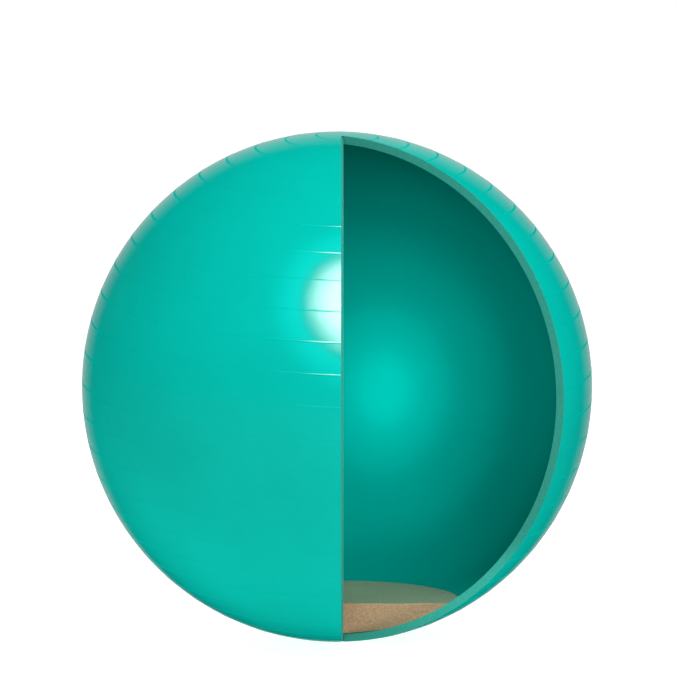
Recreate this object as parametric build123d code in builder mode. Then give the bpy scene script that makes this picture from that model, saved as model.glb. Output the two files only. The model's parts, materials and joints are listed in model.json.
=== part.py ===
from build123d import *
import math
import os

# Sitting ball: an inflated vinyl ball with ring ribs, loose sand in its bottom and a valve in its back.
# A vertical sector is left out of the ball and the sand, so that the wall and the filling can be seen.
# Millimetres and degrees. +Z is up, the front is -Y, and the origin is on the floor under the ball's centre.

# Ball
ball_diameter = 650.0
wall_thickness = 10.0
contact_diameter = 90.0

# Ring ribs
rib_count = 25
rib_width = 2.4
rib_crest_width = 1.0
rib_height = 0.7
rib_root_depth = 1.0
rib_axis_tilt = 5.4
rib_axis_lean = 2.3

# Section: the sector that is left out, and the squarer one that is left out of the sand
section_edge_shift = 8.0
section_edge_offset = 43.0
section_angle = 66.5
sand_section_angle = 90.0

# Sand
sand_depth = 42.0
sand_clearance = 0.3

# Valve seat, and how far round from straight back it sits, towards the left
valve_azimuth = 35.0
seat_neck_diameter = 30.0
seat_flange_diameter = 44.0
seat_flange_thickness = 4.0
seat_boss_diameter = 20.0
seat_boss_length = 8.0
seat_boss_chamfer = 1.5
seat_weld_gap = 0.05
seat_recess_depth = 3.0
seat_bore_diameter = 10.0
pry_notch_diameter = 7.0

# Valve plug
plug_head_diameter = 21.0
plug_head_clearance = 0.3
plug_head_fillet = 0.6
plug_running_clearance = 0.05
plug_core_diameter = 8.4
plug_stem_length = 17.0
plug_tip_length = 3.0
plug_tip_diameter = 6.0
plug_ring_count = 3
plug_ring_width = 1.6
plug_ring_pitch = 4.0
plug_hollow_diameter = 4.4
plug_hollow_depth = 12.0

# Sizes that follow from the ones above
ball_radius = ball_diameter / 2
inner_radius = ball_radius - wall_thickness
ball_height = math.sqrt(ball_radius**2 - (contact_diameter / 2) ** 2)
ball_centre = (0, 0, ball_height)
rib_pitch = 180 / (rib_count + 1)
sand_level = ball_height - inner_radius + sand_depth

# The ribs run round an axis that leans a little forward and to the right
rib_frame = Plane(ball_centre).rotated((rib_axis_tilt, rib_axis_lean, 0))
rib_axis = Axis(ball_centre, rib_frame.z_dir)
rib_section = Plane(ball_centre, x_dir=rib_frame.x_dir, z_dir=-rib_frame.y_dir)

# The valve points out of the ball's back, in the middle of the band under the widest rib
valve_latitude = -rib_pitch / 2
valve_heading = rib_frame.rotated((0, 0, valve_azimuth)).rotated((valve_latitude, 0, 0))
valve_axis = Axis(ball_centre, valve_heading.y_dir)
valve_frame = Plane(ball_centre, x_dir=valve_heading.x_dir, z_dir=valve_heading.y_dir)
valve_section = Plane(ball_centre, x_dir=valve_frame.x_dir, z_dir=-valve_frame.y_dir)
recess_floor = ball_radius - seat_recess_depth
recess_radius = plug_head_diameter / 2 + plug_head_clearance

# Plan of each sector: from their common edge straight to the front, and round to the second face
section_reach = ball_diameter
section_edge = Vector(section_edge_shift, -section_edge_offset)
straight_ahead = Vector(0, -section_reach)
section_plan = [
    section_edge,
    section_edge + straight_ahead,
    section_edge + straight_ahead.rotate(Axis.Z, section_angle / 2),
    section_edge + straight_ahead.rotate(Axis.Z, section_angle),
]
sand_section_plan = [
    section_edge,
    section_edge + straight_ahead,
    section_edge + straight_ahead.rotate(Axis.Z, sand_section_angle / 2),
    section_edge + straight_ahead.rotate(Axis.Z, sand_section_angle),
]

# Flank of a rib, carried on under the ball's surface so that the rib is rooted in the wall
rib_flank_slope = (rib_width - rib_crest_width) / 2 / rib_height
rib_root_width = rib_width + 2 * rib_flank_slope * rib_root_depth

os.makedirs("parts", exist_ok=True)

# Ball shell: the wall and its ribs turned round the rib axis, flattened where it meets the floor
with BuildPart() as ball_shell:
    with BuildSketch(rib_section):
        Circle(ball_radius)
        with PolarLocations(ball_radius, rib_count, rib_pitch - 90, 180 - 2 * rib_pitch, endpoint=True):
            Polygon(
                (-rib_root_depth, -rib_root_width / 2),
                (rib_height, -rib_crest_width / 2),
                (rib_height, rib_crest_width / 2),
                (-rib_root_depth, rib_root_width / 2),
                align=None,
            )
        Circle(inner_radius, mode=Mode.SUBTRACT)
        Rectangle(2 * ball_diameter, 2 * ball_diameter, align=(Align.MAX, Align.CENTER), mode=Mode.SUBTRACT)
    revolve(axis=rib_axis)
    split(bisect_by=Plane.XY)
    with BuildSketch():
        Polygon(*section_plan, align=None)
    extrude(amount=2 * ball_diameter, mode=Mode.SUBTRACT)
    with BuildSketch(valve_frame):
        Circle(seat_neck_diameter / 2)
    extrude(amount=ball_diameter, mode=Mode.SUBTRACT)
ball_shell.part.label = "ball_shell"
export_step(ball_shell.part, "parts/ball_shell.step")

# Sand ballast: a level cap of sand in the bottom of the ball, cut back at the same edge
with BuildPart() as sand_ballast:
    with BuildSketch(Plane.XZ):
        with Locations((0, ball_height)):
            Circle(inner_radius - sand_clearance)
        with Locations((0, sand_level)):
            Rectangle(2 * ball_diameter, 2 * ball_diameter, align=(Align.CENTER, Align.MIN), mode=Mode.SUBTRACT)
        Rectangle(2 * ball_diameter, 2 * ball_diameter, align=(Align.MAX, Align.CENTER), mode=Mode.SUBTRACT)
    revolve(axis=Axis.Z)
    with BuildSketch():
        Polygon(*sand_section_plan, align=None)
    extrude(amount=2 * ball_diameter, mode=Mode.SUBTRACT)
sand_ballast.part.label = "sand_ballast"
export_step(sand_ballast.part, "parts/sand_ballast.step")

# Valve seat: a neck flush with the ball's outside, a flange against its inside and a boss for the stem
with BuildPart() as valve_seat:
    with BuildSketch(valve_section):
        with Locations((0, inner_radius - seat_flange_thickness)):
            Rectangle(seat_flange_diameter / 2, seat_flange_thickness, align=Align.MIN)
        Circle(inner_radius - seat_weld_gap, mode=Mode.INTERSECT)
        with Locations((0, inner_radius - seat_flange_thickness)):
            Rectangle(
                seat_neck_diameter / 2 - seat_weld_gap,
                2 * wall_thickness + seat_flange_thickness,
                align=Align.MIN,
            )
        with Locations((0, inner_radius - seat_flange_thickness - seat_boss_length)):
            Rectangle(seat_boss_diameter / 2, seat_boss_length, align=Align.MIN)
        Circle(ball_radius, mode=Mode.INTERSECT)
        with Locations((0, recess_floor)):
            Rectangle(recess_radius, 2 * seat_recess_depth, align=Align.MIN, mode=Mode.SUBTRACT)
        Rectangle(seat_bore_diameter / 2, ball_diameter, align=Align.MIN, mode=Mode.SUBTRACT)
    revolve(axis=valve_axis)
    boss_end = valve_seat.faces().filter_by(valve_axis).sort_by(valve_axis)[0]
    chamfer(boss_end.outer_wire().edges(), seat_boss_chamfer)
    with BuildSketch(valve_frame.offset(recess_floor)):
        with Locations((recess_radius, 0)):
            Circle(pry_notch_diameter / 2)
    extrude(amount=2 * seat_recess_depth, mode=Mode.SUBTRACT)
valve_seat.part.label = "valve_seat"
export_step(valve_seat.part, "parts/valve_seat.step")

# Valve plug: a head flush with the ball, and a hollow stem with sealing rings that run in the seat's bore
with BuildPart() as valve_plug:
    with BuildSketch(valve_section):
        with Locations((0, recess_floor)):
            Rectangle(plug_head_diameter / 2, 2 * seat_recess_depth, align=Align.MIN)
        Circle(ball_radius, mode=Mode.INTERSECT)
        with BuildLine():
            Polyline(
                (0, recess_floor),
                (plug_core_diameter / 2, recess_floor),
                (plug_core_diameter / 2, recess_floor - plug_stem_length + plug_tip_length),
                (plug_tip_diameter / 2, recess_floor - plug_stem_length),
                (0, recess_floor - plug_stem_length),
                close=True,
            )
        make_face()
        for ring in range(plug_ring_count):
            with Locations((0, recess_floor - (ring + 0.5) * plug_ring_pitch)):
                Rectangle(
                    seat_bore_diameter / 2 - plug_running_clearance,
                    plug_ring_width,
                    align=(Align.MIN, Align.CENTER),
                )
        with Locations((0, recess_floor - plug_stem_length)):
            Rectangle(plug_hollow_diameter / 2, plug_hollow_depth, align=Align.MIN, mode=Mode.SUBTRACT)
    revolve(axis=valve_axis)
    head_side = valve_plug.faces().filter_by(GeomType.CYLINDER).sort_by(SortBy.RADIUS)[-1]
    head_rim = head_side.edges().filter_by(GeomType.CIRCLE).sort_by(valve_axis)[-1]
    fillet(head_rim, plug_head_fillet)
valve_plug.part.label = "valve_plug"
export_step(valve_plug.part, "parts/valve_plug.step")
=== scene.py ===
import json
import math

import bmesh
import bpy
import numpy as np
from mathutils import Matrix, Vector, noise


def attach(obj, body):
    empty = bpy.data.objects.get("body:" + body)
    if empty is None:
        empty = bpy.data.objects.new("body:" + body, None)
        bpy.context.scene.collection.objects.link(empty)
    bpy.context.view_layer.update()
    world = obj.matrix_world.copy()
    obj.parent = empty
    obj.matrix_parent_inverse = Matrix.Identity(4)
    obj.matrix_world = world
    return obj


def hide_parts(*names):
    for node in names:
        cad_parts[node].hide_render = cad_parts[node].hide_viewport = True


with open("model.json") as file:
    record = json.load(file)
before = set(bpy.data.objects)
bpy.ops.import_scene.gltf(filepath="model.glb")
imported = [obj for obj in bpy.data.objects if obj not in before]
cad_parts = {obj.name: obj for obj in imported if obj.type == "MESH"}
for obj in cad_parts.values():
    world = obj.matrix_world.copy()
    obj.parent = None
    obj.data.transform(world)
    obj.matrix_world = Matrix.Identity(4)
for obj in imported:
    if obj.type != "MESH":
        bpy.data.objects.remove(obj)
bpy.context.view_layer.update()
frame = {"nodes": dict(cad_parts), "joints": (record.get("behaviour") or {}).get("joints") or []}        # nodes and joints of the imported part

# Sizes of the ball, in metres and degrees
BALL_RADIUS = 0.325
WALL = 0.010
RIB_COUNT = 25
RIB_WIDTH = 0.0024
RIB_HEIGHT = 0.0002
# The rib finish, with its painted shade where it is seen edge on, covers a strip this wide round each rib
RIB_STRIP = 0.003
RIB_TILT = 5.4
RIB_LEAN = 2.3
SECTION_SHIFT = 0.008
SECTION_OFFSET = 0.043
SECTION_ANGLE = 66.5
SAND_SECTION_ANGLE = 90.0
CUT_EDGE_STRIP = 0.003
CUT_EDGE_ROUND = 0.0003
SAND_DEPTH = 0.042
SAND_GAP = 0.0004
SEAT_NECK_RADIUS = 0.015

# Relief of the sand: cycles in a metre and height of its grains, clumps and slow waves
SAND_RELIEF = ((700.0, 0.00025), (160.0, 0.00035), (22.0, 0.0008))
BRIM_FADE = 6
CUT_RELIEF_SCALE = 1.3
CUT_RELIEF_SHARE = 0.8

# Fineness of the meshes
SEGMENTS = 512
RIB_STEPS = 4
BAND_STEPS = 6
INNER_RINGS = 120
INNER_SEGMENTS = 256
HOLE_SEGMENTS = 96
SAND_COLUMNS = 360
SAND_ROWS = 130
SAND_LEVELS = 36
CUT_TOLERANCE = 1e-7

# The photograph's frame, in pixels: the ball's width and where its centre lies
PHOTO_SIDE = 676
BALL_PIXELS = 509.6
BALL_CENTRE_PIXEL = (337.0, 386.5)
VIEW_ELEVATION = 5.5
CAMERA_DISTANCE = 6.0
CAMERA_REACH = 200.0
SENSOR = 36.0

# The floor: half its width, and how far it lies under the ball
FLOOR_REACH = 30.0
FLOOR_DROP = 0.0005

# White surroundings, and the pale backdrop that gloss mirrors: where it begins, behind and above the floor
AMBIENT = 0.432
BACKDROP_LIGHT = 0.5
BACKDROP_EDGE = 0.82
BACKDROP_FOOT = (-0.36, -0.24)

# Soft boxes: azimuth and elevation seen from the ball, and power in watts
SOFT_BOX_DISTANCE = 3.0
SOFT_BOX_WIDTH = 1.6
SOFT_BOXES = {
    "key_box": (24.0, 55.0, 73.0),
    "back_box": (180.0, 30.0, 44.0),
    "rim_box": (-140.0, 10.0, 40.0),
}

# Panels that are mirrored as the highlight and its teal glow, with their light at shares of the radius
SHINE_AZIMUTH = 13.4
SHINE_ELEVATION = 40.2
SHINE_DISTANCE = 2.2
HIGHLIGHT_WIDTH = 2.04
HIGHLIGHT_POWER = 208.0
HIGHLIGHT_COLOUR = (1.0, 1.0, 1.0)
HIGHLIGHT_PROFILE = [(0.0, 1.0), (0.42, 1.0), (1.0, 0.0)]
GLOW_WIDTH = 3.6
GLOW_POWER = 110.0
GLOW_COLOUR = (0.0, 1.0, 0.95)
GLOW_PROFILE = [(0.0, 0.0), (0.4, 0.0), (0.6, 1.0), (1.0, 0.0)]

# Spots in the sector: the cone's width in degrees, its power in watts and its height as a share of its width
SPOT_SOURCE_RADIUS = 0.02
SAND_SPOT = (20.0, 32.0, 0.32)
SAND_SPOT_TARGET = Vector((0.19, -SECTION_OFFSET, 0.04))
SAND_SPOT_AWAY = Vector((-0.09, -1.1, 0.5))
SECTOR_SPOTS = ((12.0, 6.4, 1.25), (26.0, 7.6, 1.25), (50.0, 6.3, 1.25), (100.0, 4.8, 1.0))
SECTOR_SPOT_FROM_CENTRE = Vector((0.06, -0.20, 0.0))
SECTOR_TARGET_FROM_CENTRE = Vector((0.062, 0.305, -0.036))

# Places and directions that follow from the frame and the sizes
joints = {joint["name"]: joint for joint in frame["joints"]}
CENTRE = Vector(joints["sand_shift"]["pos_m"])
VALVE_AXIS = Vector(joints["plug_pull"]["axis"]).normalized()
INNER_RADIUS = BALL_RADIUS - WALL
RIB_FRAME = (
    Matrix.Rotation(math.radians(RIB_TILT), 3, "X")
    @ Matrix.Rotation(math.radians(RIB_LEAN), 3, "Y")
)

# The left out sector: its upright edge, and the way from each of its faces into the sector
SECTION_EDGE = Vector((SECTION_SHIFT, -SECTION_OFFSET, CENTRE.z))
TURN = math.radians(SECTION_ANGLE)
SAND_TURN = math.radians(SAND_SECTION_ANGLE)
FACE_A_NORMAL = Vector((1, 0, 0))
FACE_B_NORMAL = Vector((-math.cos(TURN), -math.sin(TURN), 0))
SAND_FACE_NORMAL = Vector((-math.cos(SAND_TURN), -math.sin(SAND_TURN), 0))


# Materials

def new_material(name):
    """A plain material, its nodes and its shader."""
    material = bpy.data.materials.new(name)
    material.use_nodes = True
    return material, material.node_tree, material.node_tree.nodes["Principled BSDF"]


def add(tree, kind, **settings):
    """A node of that kind. Settings named after a socket fill the socket, the others are the node's own."""
    node = tree.nodes.new(kind)
    for name, value in settings.items():
        socket = name.replace("_", " ")
        if socket in node.inputs:
            node.inputs[socket].default_value = value
        else:
            setattr(node, name, value)
    return node


def object_noise(tree, scale, detail=3.0, roughness=0.55):
    """A noise pattern in the object's own coordinates, in cycles per metre."""
    place = add(tree, "ShaderNodeTexCoord")
    pattern = add(tree, "ShaderNodeTexNoise", Scale=scale, Detail=detail, Roughness=roughness)
    tree.links.new(place.outputs["Object"], pattern.inputs["Vector"])
    return pattern.outputs["Fac"]


def ramp(tree, factor, stops):
    """A colour ramp over the factor. Each stop is a place and a colour."""
    node = add(tree, "ShaderNodeValToRGB")
    elements = node.color_ramp.elements
    while len(elements) < len(stops):
        elements.new(0.5)
    for element, (place, colour) in zip(elements, stops):
        element.position = place
        element.color = (*colour, 1)
    tree.links.new(factor, node.inputs["Fac"])
    return node.outputs["Color"]


def spread(tree, factor, low, high):
    """The factor, from 0 to 1, spread over low to high."""
    node = add(tree, "ShaderNodeMapRange", To_Min=low, To_Max=high)
    tree.links.new(factor, node.inputs["Value"])
    return node.outputs["Result"]


def multiply(tree, one, other):
    """The product of two colours."""
    node = add(tree, "ShaderNodeMix", data_type="RGBA", blend_type="MULTIPLY")
    node.inputs["Factor"].default_value = 1.0
    tree.links.new(one, node.inputs["A"])
    tree.links.new(other, node.inputs["B"])
    return node.outputs["Result"]


def bump(tree, shader, height, distance, strength, under=None):
    """Raises the shader's surface by the height, on top of an earlier bump."""
    node = add(tree, "ShaderNodeBump", Strength=strength, Distance=distance)
    tree.links.new(height, node.inputs["Height"])
    if under is not None:
        tree.links.new(under, node.inputs["Normal"])
    tree.links.new(node.outputs["Normal"], shader.inputs["Normal"])
    return node.outputs["Normal"]


def vinyl_outside(name):
    """Glossy teal vinyl with cloudy pigment, light scuffs, slow ripples and a faint orange peel."""
    material, tree, shader = new_material(name)
    deep, pale = (0.0, 0.43, 0.355), (0.0, 0.472, 0.394)
    cloud = object_noise(tree, scale=9.0, detail=4.0)
    tree.links.new(ramp(tree, cloud, [(0.25, deep), (0.75, pale)]), shader.inputs["Base Color"])
    scuff = object_noise(tree, scale=160.0, detail=5.0, roughness=0.7)
    tree.links.new(spread(tree, scuff, low=0.08, high=0.12), shader.inputs["Roughness"])
    shader.inputs["Specular IOR Level"].default_value = 0.5
    peel = object_noise(tree, scale=420.0, detail=2.0)
    ripple = object_noise(tree, scale=30.0, detail=2.0)
    rippled = bump(tree, shader, ripple, distance=0.0006, strength=0.25)
    bump(tree, shader, peel, distance=0.00006, strength=0.15, under=rippled)
    return material


def vinyl_rib():
    """The same vinyl along the ribs, with its gloss turned down where it is seen edge on, and painted shade
    that darkens its colour there.
    """
    material = vinyl_outside("vinyl_rib")
    tree = material.node_tree
    shader = tree.nodes["Principled BSDF"]
    edge_on = add(tree, "ShaderNodeLayerWeight", Blend=0.5).outputs["Facing"]
    gloss = add(tree, "ShaderNodeMapRange", From_Min=0.5, From_Max=0.68, To_Min=0.5, To_Max=0.0)
    tree.links.new(edge_on, gloss.inputs["Value"])
    tree.links.new(gloss.outputs["Result"], shader.inputs["Specular IOR Level"])
    pigment = shader.inputs["Base Color"].links[0].from_socket
    # Painted shade: the colour darkens where the rib is seen edge on, standing in for the pale reflection it
    # loses
    edge_on_painted_shade = ramp(tree, edge_on, [(0.5, (1, 1, 1)), (0.8, (0.82, 0.82, 0.82))])
    tree.links.new(multiply(tree, pigment, edge_on_painted_shade), shader.inputs["Base Color"])
    return material


def vinyl_inside_painted_shade():
    """The moulded inside of the skin: duller vinyl whose teal is painted deeper than the outside's, as
    painted shade.
    """
    material, tree, shader = new_material("vinyl_inside_painted_shade")
    # The deep teal is painted shade: the same vinyl as outside, made darker for the shaded hollow
    deep, pale = (0.0, 0.215, 0.179), (0.0, 0.235, 0.196)
    cloud = object_noise(tree, scale=7.0, detail=4.0)
    tree.links.new(ramp(tree, cloud, [(0.25, deep), (0.75, pale)]), shader.inputs["Base Color"])
    speckle = object_noise(tree, scale=220.0, detail=4.0)
    tree.links.new(spread(tree, speckle, low=0.6, high=0.75), shader.inputs["Roughness"])
    shader.inputs["Specular IOR Level"].default_value = 0.0
    bump(tree, shader, speckle, distance=0.0001, strength=0.3)
    return material


def vinyl_cut():
    """The cut wall: matt grey teal with a fine grain."""
    material, tree, shader = new_material("vinyl_cut")
    deep, pale = (0.02, 0.25, 0.193), (0.028, 0.286, 0.224)
    grain = object_noise(tree, scale=260.0, detail=4.0)
    tree.links.new(ramp(tree, grain, [(0.3, deep), (0.7, pale)]), shader.inputs["Base Color"])
    tree.links.new(spread(tree, grain, low=0.6, high=0.78), shader.inputs["Roughness"])
    shader.inputs["Specular IOR Level"].default_value = 0.1
    bump(tree, shader, grain, distance=0.0003, strength=0.35)
    return material


def sand(name, painted_shade_tint):
    """Dry sand: tan grains with pale quartz and dark specks, all of them multiplied by a tint. A tint below
    white is painted shade, as on the sand's top.
    """
    material, tree, shader = new_material(name)
    place = add(tree, "ShaderNodeTexCoord")
    grains = add(tree, "ShaderNodeTexVoronoi", Scale=1300.0)
    tree.links.new(place.outputs["Object"], grains.inputs["Vector"])
    tone = add(tree, "ShaderNodeSeparateColor")
    tree.links.new(grains.outputs["Color"], tone.inputs["Color"])
    stops = [
        (0.0, (0.232, 0.148, 0.08)),
        (0.12, (0.333, 0.218, 0.117)),
        (0.55, (0.38, 0.25, 0.141)),
        (0.9, (0.426, 0.291, 0.169)),
        (1.0, (0.538, 0.415, 0.275)),
    ]
    tinted = [(stop, [part * share for part, share in zip(colour, painted_shade_tint)]) for stop, colour in stops]
    grain_colour = ramp(tree, tone.outputs["Red"], tinted)
    damp = object_noise(tree, scale=24.0, detail=4.0)
    damp_shade = ramp(tree, damp, [(0.3, (0.93, 0.92, 0.91)), (0.7, (1, 1, 1))])
    tree.links.new(multiply(tree, grain_colour, damp_shade), shader.inputs["Base Color"])
    tree.links.new(spread(tree, tone.outputs["Green"], low=0.75, high=0.95), shader.inputs["Roughness"])
    shader.inputs["Specular IOR Level"].default_value = 0.2
    bump(tree, shader, grains.outputs["Distance"], distance=0.0004, strength=0.5)
    return material


def moulded(name, dark, light, roughness, texture_scale):
    """Satin moulded plastic or rubber with a fine mould texture."""
    material, tree, shader = new_material(name)
    cloud = object_noise(tree, scale=120.0)
    tree.links.new(ramp(tree, cloud, [(0.3, dark), (0.7, light)]), shader.inputs["Base Color"])
    fine = object_noise(tree, texture_scale)
    uneven = 0.06
    tree.links.new(spread(tree, fine, roughness - uneven, roughness + uneven), shader.inputs["Roughness"])
    bump(tree, shader, fine, distance=0.00005, strength=0.4)
    return material


def floor_paper():
    """White studio paper with a glow of its own, which keeps it white all over."""
    material, tree, shader = new_material("floor_paper")
    deep, pale = (0.39, 0.39, 0.39), (0.41, 0.41, 0.41)
    fibre = object_noise(tree, scale=60.0, detail=4.0)
    tree.links.new(ramp(tree, fibre, [(0.3, deep), (0.7, pale)]), shader.inputs["Base Color"])
    shader.inputs["Roughness"].default_value = 0.9
    shader.inputs["Specular IOR Level"].default_value = 0.1
    shader.inputs["Emission Color"].default_value = (1, 1, 1, 1)
    shader.inputs["Emission Strength"].default_value = 0.917
    material.cycles.emission_sampling = "NONE"
    return material


# Meshes

# Finishes of the skin and of the sand, in the order of their materials
OUTSIDE, RIB, CUT, INSIDE = range(4)
# The sand's top finish is a copy of the sand, darkened and greened as painted shade
SAND_CUT, SAND_TOP_PAINTED_SHADE = range(2)


def mesh_object(name, bm, *materials):
    """An object in the scene with that mesh and those materials."""
    mesh = bpy.data.meshes.new(name)
    bm.to_mesh(mesh)
    bm.free()
    for material in materials:
        mesh.materials.append(material)
    thing = bpy.data.objects.new(name, mesh)
    bpy.context.scene.collection.objects.link(thing)
    return thing


def ball_point(latitude, turn, radius):
    """Points round the rib axis, one row for each latitude, as an array of rows, turns and coordinates."""
    latitude = np.radians(np.asarray(latitude))[:, None]
    radius = np.asarray(radius)[:, None]
    out = radius * np.cos(latitude)
    points = np.stack(
        [out * np.cos(turn), out * np.sin(turn), radius * np.sin(latitude) + 0 * turn], axis=-1
    )
    return points @ np.array(RIB_FRAME).T + np.array(CENTRE)


def outer_rows():
    """Latitude, radius and finish of each ring of the outside, with a rounded rib after each band.

    The finish is that of the part from the ring to the next one.
    """
    pitch = 180 / (RIB_COUNT + 1)
    half = math.degrees(RIB_WIDTH / 2 / BALL_RADIUS)
    strip = math.degrees(RIB_STRIP / 2 / BALL_RADIUS)
    rows = []
    south = -90
    for rib in range(RIB_COUNT + 1):
        middle = -90 + (rib + 1) * pitch
        north = middle - strip if rib < RIB_COUNT else 90
        for step in range(1, BAND_STEPS):
            rows.append((south + (north - south) * step / BAND_STEPS, BALL_RADIUS, OUTSIDE))
        if rib < RIB_COUNT:
            rows.append((north, BALL_RADIUS, RIB))
            for step in range(-RIB_STEPS, RIB_STEPS + 1):
                share = step / RIB_STEPS
                lift = RIB_HEIGHT * (1 + math.cos(math.pi * share)) / 2
                rows.append((middle + half * share, BALL_RADIUS + lift, RIB))
            rows.append((middle + strip, BALL_RADIUS, OUTSIDE))
        south = middle + strip
    return rows


def inner_rows():
    """Latitude, radius and finish of each ring of the plain inside."""
    return [(-90 + 180 * row / INNER_RINGS, INNER_RADIUS, INSIDE) for row in range(1, INNER_RINGS)]


def add_lathe(bm, rows, segments, pole_radius):
    """A closed skin turned round the rib axis, with a point at each pole."""
    turn = np.linspace(0, 2 * math.pi, segments, endpoint=False)
    grid = ball_point([row[0] for row in rows], turn, [row[1] for row in rows])
    poles = ball_point([-90, 90], turn[:1], [pole_radius, pole_radius])[:, 0]
    rings = [[bm.verts.new(point) for point in ring] for ring in grid.tolist()]
    south, north = (bm.verts.new(point) for point in poles.tolist())
    for k in range(segments):
        after = (k + 1) % segments
        faces = [
            (row[2], (low[k], low[after], high[after], high[k]))
            for row, low, high in zip(rows, rings, rings[1:])
        ]
        faces.append((rows[0][2], (south, rings[0][after], rings[0][k])))
        faces.append((rows[-1][2], (rings[-1][k], rings[-1][after], north)))
        for finish, corners in faces:
            face = bm.faces.new(corners)
            face.material_index = finish
            face.smooth = True


def face_points(setback_a, setback_b):
    """A point on each face of the sector, moved back from it into the material."""
    return SECTION_EDGE - setback_a * FACE_A_NORMAL, SECTION_EDGE - setback_b * FACE_B_NORMAL


def cut_sector(bm, finishes, setback_a, setback_b):
    """Cuts the sector out of the skin that has those finishes."""
    point_a, point_b = face_points(setback_a, setback_b)
    for point, normal in ((point_a, FACE_A_NORMAL), (point_b, FACE_B_NORMAL)):
        near = [
            face
            for face in bm.faces
            if face.material_index in finishes and face.calc_center_median().y < -SECTION_OFFSET / 2
        ]
        edges = {edge for face in near for edge in face.edges}
        corners = {vertex for face in near for vertex in face.verts}
        bmesh.ops.bisect_plane(
            bm, geom=[*near, *edges, *corners], dist=CUT_TOLERANCE, plane_co=point, plane_no=normal
        )
    left_out = []
    for face in bm.faces:
        middle = face.calc_center_median()
        in_a = (middle - point_a).dot(FACE_A_NORMAL) > 0
        in_b = (middle - point_b).dot(FACE_B_NORMAL) > 0
        if face.material_index in finishes and in_a and in_b:
            left_out.append(face)
    bmesh.ops.delete(bm, geom=left_out, context="FACES")


def rim_arcs(bm, finishes, setback_a, setback_b):
    """The cut edge of one skin as two rows of vertices, along face A and face B, from top to bottom."""
    point_a, point_b = face_points(setback_a, setback_b)
    edges = [
        edge for edge in bm.edges if edge.is_boundary and edge.link_faces[0].material_index in finishes
    ]
    loop = [edges[0].verts[0], edges[0].verts[1]]
    beside = {}
    for edge in edges:
        for one, other in (edge.verts, reversed(edge.verts)):
            beside.setdefault(one, []).append(other)
    while len(loop) < len(edges):
        loop.append(next(vertex for vertex in beside[loop[-1]] if vertex is not loop[-2]))

    def off_edge(vertex):
        """How far the vertex lies from the two faces, taken together."""
        return abs((vertex.co - point_a).dot(FACE_A_NORMAL)) + abs((vertex.co - point_b).dot(FACE_B_NORMAL))

    top = min((vertex for vertex in loop if vertex.co.z > CENTRE.z), key=off_edge)
    bottom = min((vertex for vertex in loop if vertex.co.z < CENTRE.z), key=off_edge)
    start = loop.index(top)
    loop = loop[start:] + loop[:start]
    split = loop.index(bottom)
    arcs = [loop[: split + 1], [top, *reversed(loop[split:])]]
    arcs.sort(key=lambda arc: arc[len(arc) // 2].co.x)
    return arcs


def zip_faces(bm, left, right):
    """Joins two rows of vertices that run the same way with a strip of cut wall."""

    def shares(row):
        """How far along the row each vertex lies, as a share of its length."""
        steps = [0.0]
        for one, other in zip(row, row[1:]):
            steps.append(steps[-1] + (other.co - one.co).length)
        return [step / steps[-1] for step in steps]

    left_share, right_share = shares(left), shares(right)
    i = j = 0
    while i < len(left) - 1 or j < len(right) - 1:
        take_left = j == len(right) - 1 or (i < len(left) - 1 and left_share[i + 1] <= right_share[j + 1])
        third = left[i + 1] if take_left else right[j + 1]
        corners = [left[i], right[j], third]
        if len(set(corners)) == 3:
            face = bm.faces.new(corners)
            face.material_index = CUT
        i, j = (i + 1, j) if take_left else (i, j + 1)


def set_in(bm, arc, normal, width, top, bottom):
    """The outer edge of a cut face: the arc moved on to the face and in towards its middle by the width."""
    middle = CENTRE + normal * (SECTION_EDGE - CENTRE).dot(normal)
    row = [top]
    for vertex in arc[1:-1]:
        flat = vertex.co + normal * width - middle
        row.append(bm.verts.new(middle + flat * (1 - width / flat.length)))
    return [*row, bottom]


def make_shell():
    """The ball's skin: ribbed outside, plain inside and the cut wall between them."""
    bm = bmesh.new()
    add_lathe(bm, outer_rows(), SEGMENTS, BALL_RADIUS)
    add_lathe(bm, inner_rows(), INNER_SEGMENTS, INNER_RADIUS)
    for vertex in bm.verts:
        vertex.co.z = max(vertex.co.z, 0.0)
    cut_sector(bm, {OUTSIDE, RIB}, CUT_EDGE_STRIP, CUT_EDGE_ROUND)
    cut_sector(bm, {INSIDE}, 0.0, 0.0)
    outer_a, outer_b = rim_arcs(bm, {OUTSIDE, RIB}, CUT_EDGE_STRIP, CUT_EDGE_ROUND)
    inner_a, inner_b = rim_arcs(bm, {INSIDE}, 0.0, 0.0)
    reach = math.sqrt(BALL_RADIUS**2 - SECTION_SHIFT**2 - SECTION_OFFSET**2) - CUT_EDGE_ROUND
    top = bm.verts.new(SECTION_EDGE + Vector((0, 0, reach)))
    bottom = bm.verts.new(SECTION_EDGE - Vector((0, 0, reach)))
    edge_a = set_in(bm, outer_a, FACE_A_NORMAL, CUT_EDGE_STRIP, top, bottom)
    edge_b = set_in(bm, outer_b, FACE_B_NORMAL, CUT_EDGE_ROUND, top, bottom)
    for outer, edge, inner in ((outer_a, edge_a, inner_a), (outer_b, edge_b, inner_b)):
        zip_faces(bm, outer, edge)
        zip_faces(bm, edge, inner)
    bmesh.ops.recalc_face_normals(bm, faces=bm.faces[:])
    for edge in bm.edges:
        finishes = {face.material_index for face in edge.link_faces}
        if CUT in finishes and len(finishes) > 1:
            edge.smooth = False
    finishes_in_order = vinyl_outside("vinyl_outside"), vinyl_rib(), vinyl_cut(), vinyl_inside_painted_shade()
    shell = mesh_object("ball_skin", bm, *finishes_in_order)
    bore_valve_hole(shell)
    return shell


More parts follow.
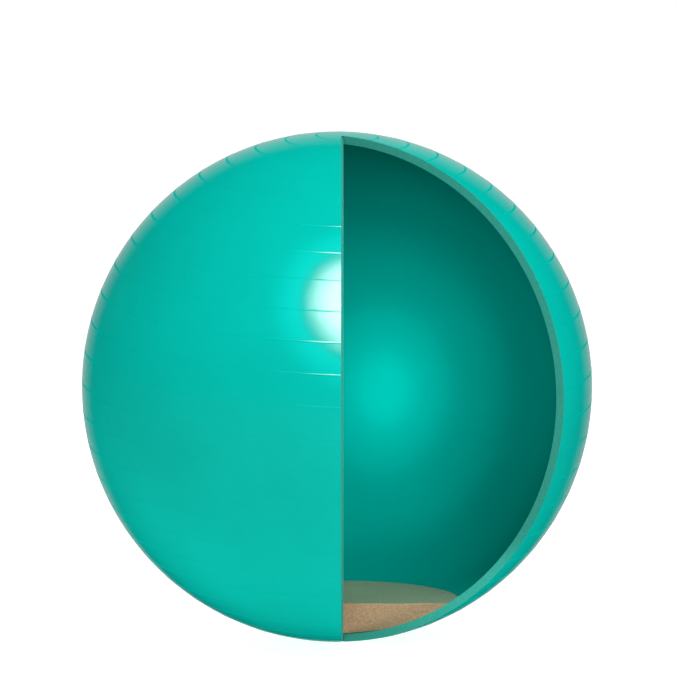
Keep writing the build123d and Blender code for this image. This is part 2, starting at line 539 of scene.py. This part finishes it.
def bore_valve_hole(shell):
    """Takes the round hole for the valve's neck out of the skin."""
    bm = bmesh.new()
    bmesh.ops.create_cone(
        bm,
        cap_ends=True,
        segments=HOLE_SEGMENTS,
        radius1=SEAT_NECK_RADIUS,
        radius2=SEAT_NECK_RADIUS,
        depth=4 * WALL,
    )
    place = Matrix.Translation(CENTRE + VALVE_AXIS * (BALL_RADIUS - WALL / 2))
    bm.transform(place @ VALVE_AXIS.to_track_quat("Z", "Y").to_matrix().to_4x4())
    cutter = mesh_object("valve_hole", bm)
    hole = shell.modifiers.new("valve_hole", "BOOLEAN")
    hole.operation = "DIFFERENCE"
    hole.solver = "FAST"
    hole.object = cutter
    bored = bpy.data.meshes.new_from_object(shell.evaluated_get(bpy.context.evaluated_depsgraph_get()))
    shell.modifiers.clear()
    shell.data = bored
    bored.name = "ball_skin"
    bpy.data.objects.remove(cutter)


def sand_relief(point):
    """Height of the sand's relief at a point."""
    return sum(noise.noise(Vector(point) * scale) * height for scale, height in SAND_RELIEF)


def make_sand():
    """The heap of sand: a level top, a round bottom in the ball and two cut faces at the sector."""
    radius = INNER_RADIUS - SAND_GAP
    level = CENTRE.z - INNER_RADIUS + SAND_DEPTH
    brim = math.sqrt(radius**2 - (CENTRE.z - level) ** 2)
    edge = SECTION_EDGE.to_2d()
    bm = bmesh.new()

    def bottom_height(x, y):
        return CENTRE.z - math.sqrt(radius**2 - x * x - y * y)

    def column(angle):
        """The places from the sector's edge out to the brim, in plan."""
        way = Vector((math.cos(angle), math.sin(angle)))
        along = edge.dot(way)
        reach = -along + math.sqrt(along**2 + brim**2 - edge.length_squared)
        return [edge + way * reach * row / SAND_ROWS for row in range(SAND_ROWS + 1)]

    def top_vertex(place, row):
        """A vertex of the top, where the relief fades out at the brim."""
        fade = 1 - (row / SAND_ROWS) ** BRIM_FADE
        lift = sand_relief((place.x, place.y, level)) * fade
        return bm.verts.new((place.x, place.y, level + lift))

    # The columns go from the cut face on the right round the back to the one that runs straight ahead
    first, last = SAND_TURN - math.radians(90), math.radians(270)
    plans = [column(first + (last - first) * k / SAND_COLUMNS) for k in range(SAND_COLUMNS + 1)]
    edge_top = top_vertex(edge, 0)
    edge_bottom = bm.verts.new((*edge, bottom_height(*edge)))
    tops, bottoms = [], []
    for plan in plans:
        tops.append([edge_top] + [top_vertex(place, row) for row, place in enumerate(plan) if row])
        lows = [bm.verts.new((*place, bottom_height(*place))) for place in plan[1:-1]]
        bottoms.append([edge_bottom, *lows, tops[-1][-1]])

    def add_face(finish, *corners):
        """A face with those corners, each taken once, if there are enough of them."""
        ring = list(dict.fromkeys(corners))
        if len(ring) > 2:
            face = bm.faces.new(ring)
            face.material_index = finish
            face.smooth = True

    for sheet, finish in ((tops, SAND_TOP_PAINTED_SHADE), (bottoms, SAND_CUT)):
        for one, other in zip(sheet, sheet[1:]):
            for row in range(SAND_ROWS):
                add_face(finish, one[row], one[row + 1], other[row + 1], other[row])

    def cut_column(high, low, normal):
        """Vertices down a cut face, from the top to the bottom, roughened by the grains."""
        middles = []
        for k in range(1, SAND_LEVELS):
            place = high.co.lerp(low.co, k / SAND_LEVELS)
            relief = normal * sand_relief(place * CUT_RELIEF_SCALE) * CUT_RELIEF_SHARE
            middles.append(bm.verts.new(place + relief))
        return [high, *middles, low]

    edge_column = cut_column(edge_top, edge_bottom, Vector((0, 0, 0)))
    for k, normal in ((0, SAND_FACE_NORMAL), (-1, FACE_A_NORMAL)):
        columns = [edge_column]
        for row in range(1, SAND_ROWS):
            columns.append(cut_column(tops[k][row], bottoms[k][row], normal))
        columns.append([tops[k][-1]] * (SAND_LEVELS + 1))
        for one, other in zip(columns, columns[1:]):
            for step in range(SAND_LEVELS):
                add_face(SAND_CUT, one[step], one[step + 1], other[step + 1], other[step])
    bmesh.ops.recalc_face_normals(bm, faces=bm.faces[:])
    cut_sand = sand("sand_cut", painted_shade_tint=(1.0, 1.0, 1.0))
    # The top is painted shade: the same sand made darker and greener, as if it lay in the teal skin's shadow
    painted_shade_top_sand = sand("sand_top_painted_shade", painted_shade_tint=(0.41, 0.952, 1.056))
    return mesh_object("sand_heap", bm, cut_sand, painted_shade_top_sand)


# Stage

def make_floor():
    """A wide white floor just under the ball."""
    bm = bmesh.new()
    bmesh.ops.create_grid(bm, x_segments=8, y_segments=8, size=FLOOR_REACH)
    floor = mesh_object("floor", bm, floor_paper())
    floor.location.z = -FLOOR_DROP
    floor.visible_glossy = False
    return floor


def aimed(data, name, place, target):
    """A lamp or camera at that place, pointed at the target."""
    thing = bpy.data.objects.new(name, data)
    thing.location = place
    thing.rotation_mode = "QUATERNION"
    thing.rotation_quaternion = (Vector(target) - Vector(place)).to_track_quat("-Z", "Y")
    bpy.context.scene.collection.objects.link(thing)
    return thing


def toward(azimuth, elevation):
    """The way from the ball to an azimuth, 0 in front and 90 on the right, and an elevation."""
    a, e = math.radians(azimuth), math.radians(elevation)
    return Vector((math.sin(a) * math.cos(e), -math.cos(a) * math.cos(e), math.sin(e)))


def disc_lamp(name, place, width, power):
    """A round lamp aimed at the ball, which the camera doesn't see."""
    data = bpy.data.lights.new(name, "AREA")
    data.shape = "DISK"
    data.size = width
    data.energy = power
    lamp = aimed(data, name, place, CENTRE)
    lamp.visible_camera = False
    return lamp


def soft_box(name, place, width, power):
    """A round studio light that lights surfaces and isn't mirrored in their gloss."""
    lamp = disc_lamp(name, place, width, power)
    lamp.visible_glossy = False


def gloss_box(name, place, width, power, colour, profile):
    """A round panel that is only mirrored in gloss. Its profile gives the light at shares of its radius."""
    lamp = disc_lamp(name, place, width, power)
    lamp.visible_diffuse = False
    lamp.data.color = colour
    lamp.data.use_nodes = True
    tree = lamp.data.node_tree
    place_on = add(tree, "ShaderNodeNewGeometry")
    from_middle = add(tree, "ShaderNodeVectorMath", operation="DISTANCE")
    from_middle.inputs[1].default_value = (0.5, 0.5, 0.0)
    tree.links.new(place_on.outputs["Parametric"], from_middle.inputs[0])
    share = spread(tree, from_middle.outputs["Value"], low=0.0, high=2.0)
    light = ramp(tree, share, [(stop, (level, level, level)) for stop, level in profile])
    light.node.color_ramp.interpolation = "EASE"
    tree.links.new(light, tree.nodes["Emission"].inputs["Strength"])


def spot_lamp(name, place, target, width, power, tall):
    """A soft-edged spot that camera and gloss don't see, with its cone so many times as tall as wide."""
    data = bpy.data.lights.new(name, "SPOT")
    data.energy = power
    data.spot_size = math.radians(width)
    data.spot_blend = 1.0
    data.shadow_soft_size = SPOT_SOURCE_RADIUS
    lamp = aimed(data, name, place, target)
    lamp.scale.y = tall
    lamp.visible_camera = False
    lamp.visible_glossy = False


def make_world():
    """White surroundings. Gloss mirrors only the pale backdrop behind the ball."""
    world = bpy.data.worlds.new("studio")
    world.use_nodes = True
    world.cycles.sampling_method = "NONE"
    tree = world.node_tree
    background = tree.nodes["Background"]
    background.inputs["Color"].default_value = (1, 1, 1, 1)
    place = add(tree, "ShaderNodeTexCoord")
    way = add(tree, "ShaderNodeSeparateXYZ")
    tree.links.new(place.outputs["Generated"], way.inputs["Vector"])
    behind = add(tree, "ShaderNodeMapRange", From_Min=BACKDROP_EDGE, From_Max=1.0, To_Max=BACKDROP_LIGHT)
    tree.links.new(way.outputs["Y"], behind.inputs["Value"])
    low, high = BACKDROP_FOOT
    above = add(tree, "ShaderNodeMapRange", interpolation_type="SMOOTHSTEP", From_Min=low, From_Max=high)
    tree.links.new(way.outputs["Z"], above.inputs["Value"])
    backdrop = add(tree, "ShaderNodeMath", operation="MULTIPLY")
    tree.links.new(behind.outputs["Result"], backdrop.inputs[0])
    tree.links.new(above.outputs["Result"], backdrop.inputs[1])
    ray = add(tree, "ShaderNodeLightPath")
    shine = add(tree, "ShaderNodeMix")
    shine.inputs["A"].default_value = AMBIENT
    tree.links.new(ray.outputs["Is Glossy Ray"], shine.inputs["Factor"])
    tree.links.new(backdrop.outputs["Value"], shine.inputs["B"])
    seen = add(tree, "ShaderNodeMix")
    seen.inputs["B"].default_value = 1.0
    tree.links.new(ray.outputs["Is Camera Ray"], seen.inputs["Factor"])
    tree.links.new(shine.outputs["Result"], seen.inputs["A"])
    tree.links.new(seen.outputs["Result"], background.inputs["Strength"])
    bpy.context.scene.world = world


def make_lights():
    """White surroundings, soft boxes, a mirrored highlight with its glow, and the sector's spots."""
    make_world()
    for name, (azimuth, elevation, power) in SOFT_BOXES.items():
        place = CENTRE + toward(azimuth, elevation) * SOFT_BOX_DISTANCE
        soft_box(name, place, SOFT_BOX_WIDTH, power)
    shine = CENTRE + toward(SHINE_AZIMUTH, SHINE_ELEVATION) * SHINE_DISTANCE
    gloss_box(
        "highlight_box", shine, HIGHLIGHT_WIDTH, HIGHLIGHT_POWER, HIGHLIGHT_COLOUR, HIGHLIGHT_PROFILE
    )
    gloss_box("glow_box", shine, GLOW_WIDTH, GLOW_POWER, GLOW_COLOUR, GLOW_PROFILE)
    spot_lamp("sand_front", SAND_SPOT_TARGET + SAND_SPOT_AWAY, SAND_SPOT_TARGET, *SAND_SPOT)
    mouth = CENTRE + SECTOR_SPOT_FROM_CENTRE
    back_wall = CENTRE + SECTOR_TARGET_FROM_CENTRE
    for width, power, tall in SECTOR_SPOTS:
        spot_lamp(f"sector_{width:.0f}", mouth, back_wall, width, power, tall)


def make_camera():
    """The photograph's view: a long lens a little above the ball's middle."""
    pixel = 2 * BALL_RADIUS / BALL_PIXELS
    back = toward(0, VIEW_ELEVATION)
    right = Vector((1, 0, 0))
    up = back.cross(right)
    aside = PHOTO_SIDE / 2 - BALL_CENTRE_PIXEL[0]
    above = BALL_CENTRE_PIXEL[1] - PHOTO_SIDE / 2
    aim = CENTRE + right * aside * pixel + up * above * pixel
    data = bpy.data.cameras.new("camera")
    data.sensor_width = SENSOR
    data.lens = SENSOR * CAMERA_DISTANCE / (PHOTO_SIDE * pixel)
    data.clip_end = CAMERA_REACH
    bpy.context.scene.camera = aimed(data, "camera", aim + back * CAMERA_DISTANCE, aim)


shell = make_shell()
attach(shell, "ball")
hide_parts("ball_shell")

heap = make_sand()
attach(heap, "sand")
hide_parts("sand_ballast")

valve_finishes = {
    "valve_seat": moulded("seat_vinyl", (0.0, 0.30, 0.245), (0.0, 0.35, 0.29), 0.45, 900.0),
    "valve_plug": moulded("plug_plastic", (0.76, 0.76, 0.73), (0.84, 0.84, 0.81), 0.38, 1400.0),
}
for node, material in valve_finishes.items():
    frame["nodes"][node].data.materials.clear()
    frame["nodes"][node].data.materials.append(material)

make_floor()
make_lights()
make_camera()
bpy.context.scene.view_settings.view_transform = "Standard"
